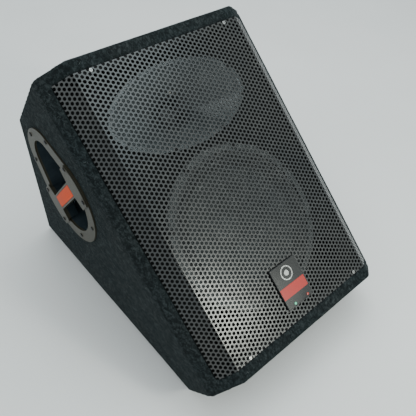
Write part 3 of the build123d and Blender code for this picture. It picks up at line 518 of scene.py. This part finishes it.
def perforated_sheet():
    """Staggered round holes, one hexagonal cell each, trimmed to the sheet and bent."""
    half_length, half_height = sheet_half_length(), OPENING / 2 - GRILLE_GAP
    turns = np.arange(12) * pi / 6
    reach = HOLE_PITCH / 2 / np.cos((turns + pi / 6) % (pi / 3) - pi / 6)
    cell = np.stack([reach * np.cos(turns + pi / 2), reach * np.sin(turns + pi / 2)], 1)
    hole = HOLE_RADIUS * np.stack([np.cos(turns + pi / 2), np.sin(turns + pi / 2)], 1)
    columns = int(half_length / COLUMN_PITCH) + 2
    rows = int(half_height / HOLE_PITCH) + 2
    verts, faces = [], []
    for column in range(-columns, columns):
        s = (column + 0.5) * COLUMN_PITCH
        shift = FIRST_ROW if column % 2 else FIRST_ROW + HOLE_PITCH / 2
        for row in range(-rows, rows + 1):
            y = row * HOLE_PITCH + shift
            base = len(verts)
            verts += [(s + a, y + b, 0) for a, b in cell]
            verts += [(s + a, y + b, 0) for a, b in hole]
            verts += [(s + a, y + b, -SHEET) for a, b in hole]
            for i in range(12):
                j = (i + 1) % 12
                faces.append((base + i, base + j, base + 12 + j, base + 12 + i))
                faces.append((base + 12 + i, base + 12 + j, base + 24 + j, base + 24 + i))
    mesh = bpy.data.meshes.new("grille_sheet")
    mesh.from_pydata(verts, [], faces)
    build = bmesh.new()
    build.from_mesh(mesh)
    bmesh.ops.remove_doubles(build, verts=build.verts, dist=0.05)
    for point, normal in (
        ((half_length, 0, 0), (1, 0, 0)),
        ((-half_length, 0, 0), (-1, 0, 0)),
        ((0, half_height, 0), (0, 1, 0)),
        ((0, -half_height, 0), (0, -1, 0)),
    ):
        everything = build.verts[:] + build.edges[:] + build.faces[:]
        bmesh.ops.bisect_plane(build, geom=everything, plane_co=point, plane_no=normal, clear_outer=True)
    cut_badge_window(build)
    for vertex in build.verts:
        s, y, z = vertex.co
        vertex.co = bent(s, y, -z)
    build.to_mesh(mesh)
    build.free()
    mesh.transform(FACE)
    smooth_by_angle(mesh, 50)
    return piece("grille_perforated", mesh, CABINET, "grille_coat", ["grille"])


def cut_badge_window(build):
    """Cuts the badge's rectangle out of the flat sheet."""
    half_x, half_y = BADGE_SIZE[0] / 2 + 0.8, BADGE_SIZE[1] / 2 + 0.8
    reach = 1.5 * HOLE_PITCH
    for point, normal in (
        ((half_x, BADGE_Y, 0), (1, 0, 0)),
        ((-half_x, BADGE_Y, 0), (1, 0, 0)),
        ((0, BADGE_Y + half_y, 0), (0, 1, 0)),
        ((0, BADGE_Y - half_y, 0), (0, 1, 0)),
    ):
        near = [
            f
            for f in build.faces
            if abs(f.calc_center_median().x) < half_x + reach
            and abs(f.calc_center_median().y - BADGE_Y) < half_y + reach
        ]
        geometry = near + list({e for f in near for e in f.edges}) + list({v for f in near for v in f.verts})
        bmesh.ops.bisect_plane(build, geom=geometry, plane_co=point, plane_no=normal)
    inside = [
        f
        for f in build.faces
        if abs(f.calc_center_median().x) < half_x and abs(f.calc_center_median().y - BADGE_Y) < half_y
    ]
    bmesh.ops.delete(build, geom=inside, context="FACES")


# ---------------------------------------------------------------- carpet


def arc_corner(corner, before, after, radius, steps):
    """Points of a round that replaces a corner between two neighbours, all as (y, z)."""
    corner, before, after = Vector(corner), Vector(before), Vector(after)
    first, second = (before - corner).normalized(), (after - corner).normalized()
    half = first.angle(second) / 2
    centre = corner + (first + second).normalized() * radius / sin(half)
    start = corner + first * radius / tan(half) - centre
    end = corner + second * radius / tan(half) - centre
    return [tuple(centre + radius * start.slerp(end, i / steps)) for i in range(steps + 1)]


def cabinet_block():
    """The cabinet's outer shape as one solid with its front pocket, in metres."""
    outline = list(OUTLINE)
    rounded = arc_corner(outline[1], outline[0], outline[2], TOP_REAR_ROUND, 6)
    outline = [outline[0], *rounded, *outline[2:]]
    points = [(0, y * MM, z * MM) for y, z in outline]
    block = temporary("block", prism("block", points, (1, 0, 0), -WIDTH / 2 * MM, WIDTH / 2 * MM))
    bevel_end = GRILLE_FLAT / 2 + BEVEL_RUN
    far = WIDTH / 2 + 30
    side_depth = (WIDTH / 2 - GRILLE_FLAT / 2) * tan(BEVEL_ANGLE)
    corner = [
        (GRILLE_FLAT / 2, 0),
        (WIDTH / 2 - 3.5, 2.5 - side_depth),
        (WIDTH / 2 + 1, -side_depth - 8),
        (far, -side_depth - 8),
        (far, 30),
        (GRILLE_FLAT / 2, 30),
    ]
    up = (FACE.to_3x3() @ Vector((0, 1, 0))).normalized()
    cutters = []
    for side in (1, -1):
        outline = [FACE @ Vector((side * x, 0, z)) for x, z in corner]
        cutters.append(prism("corner", outline, up, -0.5, 0.5))
    pocket = [(-bevel_end, 15), (bevel_end, 15), (bevel_end, -POCKET_DEPTH), (-bevel_end, -POCKET_DEPTH)]
    outline = [FACE @ Vector((x, 0, z)) for x, z in pocket]
    cutters.append(prism("pocket", outline, up, -OPENING / 2 * MM, OPENING / 2 * MM))
    for mesh in cutters:
        cutter = temporary("cutter", mesh)
        cut = block.modifiers.new("cut", "BOOLEAN")
        cut.operation = "DIFFERENCE"
        cut.solver = "EXACT"
        cut.object = cutter
        baked(block)
        bpy.data.objects.remove(cutter)
    return block


def in_handle(point, shrink):
    """Whether a point (a, b) of the side frame lies inside the handle's outline shrunk by shrink."""
    (small_y, small), (large_y, large) = HANDLE_SMALL, HANDLE_LARGE
    lean = asin((large - small) / (small_y - large_y))
    a, b = abs(point[0]), point[1]
    along = (b - large_y) - a * tan(lean)
    span = small_y - large_y
    share = min(max(along / span * cos(lean) ** 2 if along > 0 else 0, 0), 1)
    centre_y = large_y + span * share
    radius = large + (small - large) * share - shrink
    return a * a + (b - centre_y) ** 2 < radius * radius


def carpet_mesh():
    """The covering's outer surface: even faces, soft edges, openings cut away."""
    block = cabinet_block()
    remesh = block.modifiers.new("even", "REMESH")
    remesh.mode = "VOXEL"
    remesh.voxel_size = FELT_VOXEL
    soft = block.modifiers.new("soft", "SMOOTH")
    soft.factor = 0.5
    soft.iterations = 4
    baked(block)
    mesh = block.data
    bpy.data.objects.remove(block)
    to_face, to_side, to_rear = FACE.inverted(), SIDE.inverted(), REAR.inverted()
    build = bmesh.new()
    build.from_mesh(mesh)
    gone = []
    for f in build.faces:
        centre = f.calc_center_median()
        x, y, z = to_face @ centre
        within = abs(x) < GRILLE_FLAT / 2 + BEVEL_RUN + 1 and abs(y) < OPENING / 2 + 1
        if within and -60 < z < -LIP:
            gone.append(f)
            continue
        mirrored = Vector((abs(centre.x), centre.y, centre.z))
        a, b, n = to_side @ mirrored
        if n > -6 and in_handle((a, b), HANDLE_CUT):
            gone.append(f)
            continue
        a, b, n = to_rear @ centre
        if n > -6 and abs(a) < PANEL_SIZE[0] / 2 - PANEL_CUT and abs(b) < PANEL_SIZE[1] / 2 - PANEL_CUT:
            gone.append(f)
    bmesh.ops.delete(build, geom=gone, context="FACES")
    ruffle(build)
    build.to_mesh(mesh)
    build.free()
    for polygon in mesh.polygons:
        polygon.use_smooth = True
    return mesh


def seam_distance(point):
    """How far a point of the covering is from the nearest seam, in millimetres."""
    x, y, z = FACE.inverted() @ point
    across, up = abs(x) - GRILLE_FLAT / 2 - BEVEL_RUN, abs(y) - OPENING / 2
    if z > -CORNER_ZONE and across > -2:
        return abs(MITRE * across - up) / sqrt(1 + MITRE * MITRE) if up > -4 else 99
    return abs(abs(x) - WIDTH / 2 + 1.5)


def ruffle(build):
    """Unevenness of glued felt: slow waves, small lumps and a shallow groove along each seam."""
    build.normal_update()
    for vertex in build.verts:
        p = vertex.co
        slow = noise.noise(p * 11) * 0.45
        lumps = noise.noise(p * 170) * 0.16 + noise.noise(p * 340 + Vector((5, 0, 0))) * 0.10
        groove = max(0.0, 1 - seam_distance(p) / GROOVE_WIDTH)
        vertex.co = p + vertex.normal * (slow + lumps + 0.6 - 1.3 * groove**0.7) * MM


def part_of(mesh, name, keep):
    """A copy of a mesh with only the faces whose centre passes keep."""
    build = bmesh.new()
    build.from_mesh(mesh)
    gone = [f for f in build.faces if not keep(f.calc_center_median())]
    bmesh.ops.delete(build, geom=gone, context="FACES")
    part = bpy.data.meshes.new(name)
    build.to_mesh(part)
    build.free()
    return part


def side_of(point):
    """-1 or 1 where a side's covering is, 0 on the wrap."""
    x, y, z = FACE.inverted() @ point
    across, up = abs(x) - GRILLE_FLAT / 2 - BEVEL_RUN, abs(y) - OPENING / 2
    strip = z > -CORNER_ZONE and across > -2 and up < MITRE * across
    if abs(x) > WIDTH / 2 - 1.5 or strip:
        return 1 if x > 0 else -1
    return 0


def fibres(mesh, name, count, length, width, seed, lift):
    """Short loose hairs scattered over a surface, each a bent ribbon of three spans."""
    rng = np.random.default_rng(seed)
    areas = np.array([p.area for p in mesh.polygons])
    chosen = rng.choice(len(areas), count, p=areas / areas.sum())
    verts, faces = [], []
    for index in chosen:
        polygon = mesh.polygons[int(index)]
        normal = polygon.normal
        tangent = normal.orthogonal().normalized()
        tangent = Quaternion(normal, rng.uniform(0, 2 * pi)) @ tangent
        size = length * rng.uniform(0.5, 1.4) * MM
        curl = rng.uniform(-1.3, 1.3)
        rise = lift * rng.uniform(0.2, 1.0) * MM
        start = polygon.center + normal * 0.00005
        base = len(verts)
        across = normal.cross(tangent)
        for step in range(4):
            share = step / 3
            heading = Quaternion(normal, curl * share) @ tangent
            point = start + heading * size * share + normal * rise * sin(pi * min(share * 0.8, 1))
            half = across * width * MM / 2 * (1 - 0.7 * share)
            verts += [point - half, point + half]
        faces += [(base + 2 * i, base + 2 * i + 1, base + 2 * i + 3, base + 2 * i + 2) for i in range(3)]
    made = bpy.data.meshes.new(name)
    made.from_pydata(verts, [], faces)
    return made


def carpet():
    """Wrap and side coverings with their loose hairs and lint."""
    whole = carpet_mesh()
    wrap = part_of(whole, "carpet_felt_wrap", lambda c: side_of(c) == 0)
    left = part_of(whole, "carpet_felt_left", lambda c: side_of(c) < 0)
    right = part_of(whole, "carpet_felt_right", lambda c: side_of(c) > 0)
    wrap = piece("carpet_felt_wrap", wrap, CABINET, "carpet", ["carpet_wrap"])
    left = piece("carpet_felt_left", left, CABINET, "carpet", ["carpet_side_left"])
    right = piece("carpet_felt_right", right, CABINET, "carpet", ["carpet_side_right"])
    piece("carpet_hairs", fibres(whole, "carpet_hairs", 16000, 3.4, 0.16, 3, 0.9), CABINET, "carpet")
    lint = piece("carpet_lint", fibres(whole, "carpet_lint", 260, 7.0, 0.22, 8, 0.5), CABINET, "carpet")
    lint.data.materials[0] = lint_material()


def lint_material():
    """Pale stray fibres."""
    made = Shader("lint", (0.30, 0.33, 0.33), 0.9)
    shade = made.noise(90, 2, 0.5)
    made.link(made.ramp(shade, [(0.3, (0.10, 0.12, 0.12)), (0.7, (0.34, 0.37, 0.36))]), "Base Color")
    return made.material


# ---------------------------------------------------------------- wadding


def wadding():
    """Loose polyester pads inside the cabinet: crowned blocks with pulled-in edges and a lumpy surface."""
    node = nodes["damping_pads"]
    build = bmesh.new()
    build.from_mesh(node.data)
    bmesh.ops.remove_doubles(build, verts=build.verts, dist=0.0001)
    bmesh.ops.dissolve_limit(build, angle_limit=0.02, verts=build.verts, edges=build.edges)
    bmesh.ops.inset_individual(build, faces=build.faces, thickness=0.004, depth=0.0)
    bmesh.ops.triangulate(build, faces=build.faces)
    bmesh.ops.subdivide_edges(build, edges=build.edges, cuts=18, use_grid_fill=True)
    for _ in range(4):
        bmesh.ops.smooth_vert(
            build, verts=build.verts, factor=0.5, use_axis_x=True, use_axis_y=True, use_axis_z=True
        )
    build.normal_update()
    for vertex in build.verts:
        lump = noise.noise(vertex.co * 40) + 0.5 * noise.noise(vertex.co * 110)
        vertex.co -= vertex.normal * (1.6 + 1.4 * lump) * MM
    mesh = bpy.data.meshes.new("wadding_pads")
    build.to_mesh(mesh)
    build.free()
    for polygon in mesh.polygons:
        polygon.use_smooth = True
    piece("wadding_pads", mesh, CABINET, "wadding", ["damping_pads"])


# ---------------------------------------------------------------- carried-over nodes


def round_cad_edges():
    """Small rounds on the moulded and machined CAD nodes."""
    widths = {
        "handle_cup_left": 0.9,
        "handle_cup_right": 0.9,
        "grip_bar_left": 0.8,
        "grip_bar_right": 0.8,
        "grip_plate_left": 0.4,
        "grip_plate_right": 0.4,
        "badge_body": 0.5,
        "badge_band": 0.25,
        "badge_emblem": 0.2,
        "horn_flare": 0.8,
        "port_tubes": 0.3,
        "woofer_gasket": 0.6,
        "amp_panel": 0.4,
        "heat_sink": 0.3,
        "mic_socket": 0.5,
        "link_socket": 0.5,
        "mains_inlet": 0.5,
        "fuse_drawer": 0.3,
        "power_switch": 0.6,
        "knob_level": 0.25,
        "knob_bass": 0.25,
        "knob_treble": 0.25,
        "line_switch": 0.4,
        "mic_latch": 0.4,
        "rubber_feet": 0.6,
        "transformer": 0.5,
    }
    for name, width in widths.items():
        soften(name, width)
    for name, node in nodes.items():
        if name not in widths:
            smooth_by_angle(node.data)


# ---------------------------------------------------------------- floor, lights, camera


def plain_floor():
    mesh = bpy.data.meshes.new("studio_floor")
    size = 9.0
    corners = [(-size, -size, 0), (size, -size, 0), (size, size, 0), (-size, size, 0)]
    mesh.from_pydata(corners, [], [(0, 1, 2, 3)])
    floor = temporary("studio_floor", mesh)
    finish = Shader("studio_floor", (0.86, 0.86, 0.85), 0.7)
    tone = finish.noise(3, 3, 0.5)
    finish.link(finish.ramp(tone, [(0.3, (0.84, 0.84, 0.83)), (0.7, (0.87, 0.87, 0.86))]), "Base Color")
    mesh.materials.append(finish.material)


def area_light(name, place, target, size, power, colour=(1, 1, 1)):
    data = bpy.data.lights.new(name, "AREA")
    data.shape = "RECTANGLE"
    data.size, data.size_y = size
    data.energy = power
    data.color = colour
    lamp = bpy.data.objects.new(name, data)
    bpy.context.scene.collection.objects.link(lamp)
    lamp.location = place
    lamp.rotation_mode = "QUATERNION"
    lamp.rotation_quaternion = (Vector(target) - Vector(place)).to_track_quat("-Z", "Y")


def reflected_light(name, shine, size, power, colour):
    """An area light whose mirror image, seen by the camera, lies on one point of the face."""
    shine = Vector(shine)
    away = shine - Vector(CAMERA_AT)
    away.z = -away.z
    area_light(name, FACE @ (shine + away.normalized() * LIGHT_DISTANCE), FACE @ shine, size, power, colour)


def lights():
    """Soft overhead light, two that shine off the grille, a fill from the left and pale surroundings."""
    middle = Vector((0, FACE_Y * MM, FACE_Z * MM))
    area_light("overhead", (0.5, 0.5, 2.3), middle, (1.6, 1.4), 22, (0.90, 1.0, 1.0))
    reflected_light("key", (-150, -170, 0), (0.26, 0.40), 10, (0.96, 1.0, 0.90))
    reflected_light("window", (-120, 215, 0), (0.7, 0.4), 3, (0.80, 0.96, 1.0))
    area_light("left_fill", (-2.2, 0.5, 1.9), middle, (1.0, 1.0), 6, (0.90, 1.0, 1.0))
    world = bpy.data.worlds.new("studio")
    bpy.context.scene.world = world
    world.use_nodes = True
    world.node_tree.nodes["Background"].inputs["Color"].default_value = (0.90, 0.98, 1.0, 1)
    world.node_tree.nodes["Background"].inputs["Strength"].default_value = 0.85


def camera():
    """Camera above the left front, aimed a little left of the grille's middle."""
    data = bpy.data.cameras.new("camera")
    data.sensor_width = 36
    data.lens = 41.94
    data.shift_x = -0.0071
    data.shift_y = 0.0397
    made = bpy.data.objects.new("camera", data)
    bpy.context.scene.collection.objects.link(made)
    made.location = FACE @ Vector(CAMERA_AT)
    made.rotation_mode = "QUATERNION"
    aim = (FACE @ Vector(CAMERA_AIM) - made.location).to_track_quat("-Z", "Y")
    made.rotation_quaternion = aim @ Quaternion((0, 0, 1), radians(CAMERA_ROLL))
    data.clip_start, data.clip_end = 0.01, 50
    bpy.context.scene.camera = made


plain_floor()
lights()
camera()
perforated_sheet()
carpet()
wadding()
round_cad_edges()
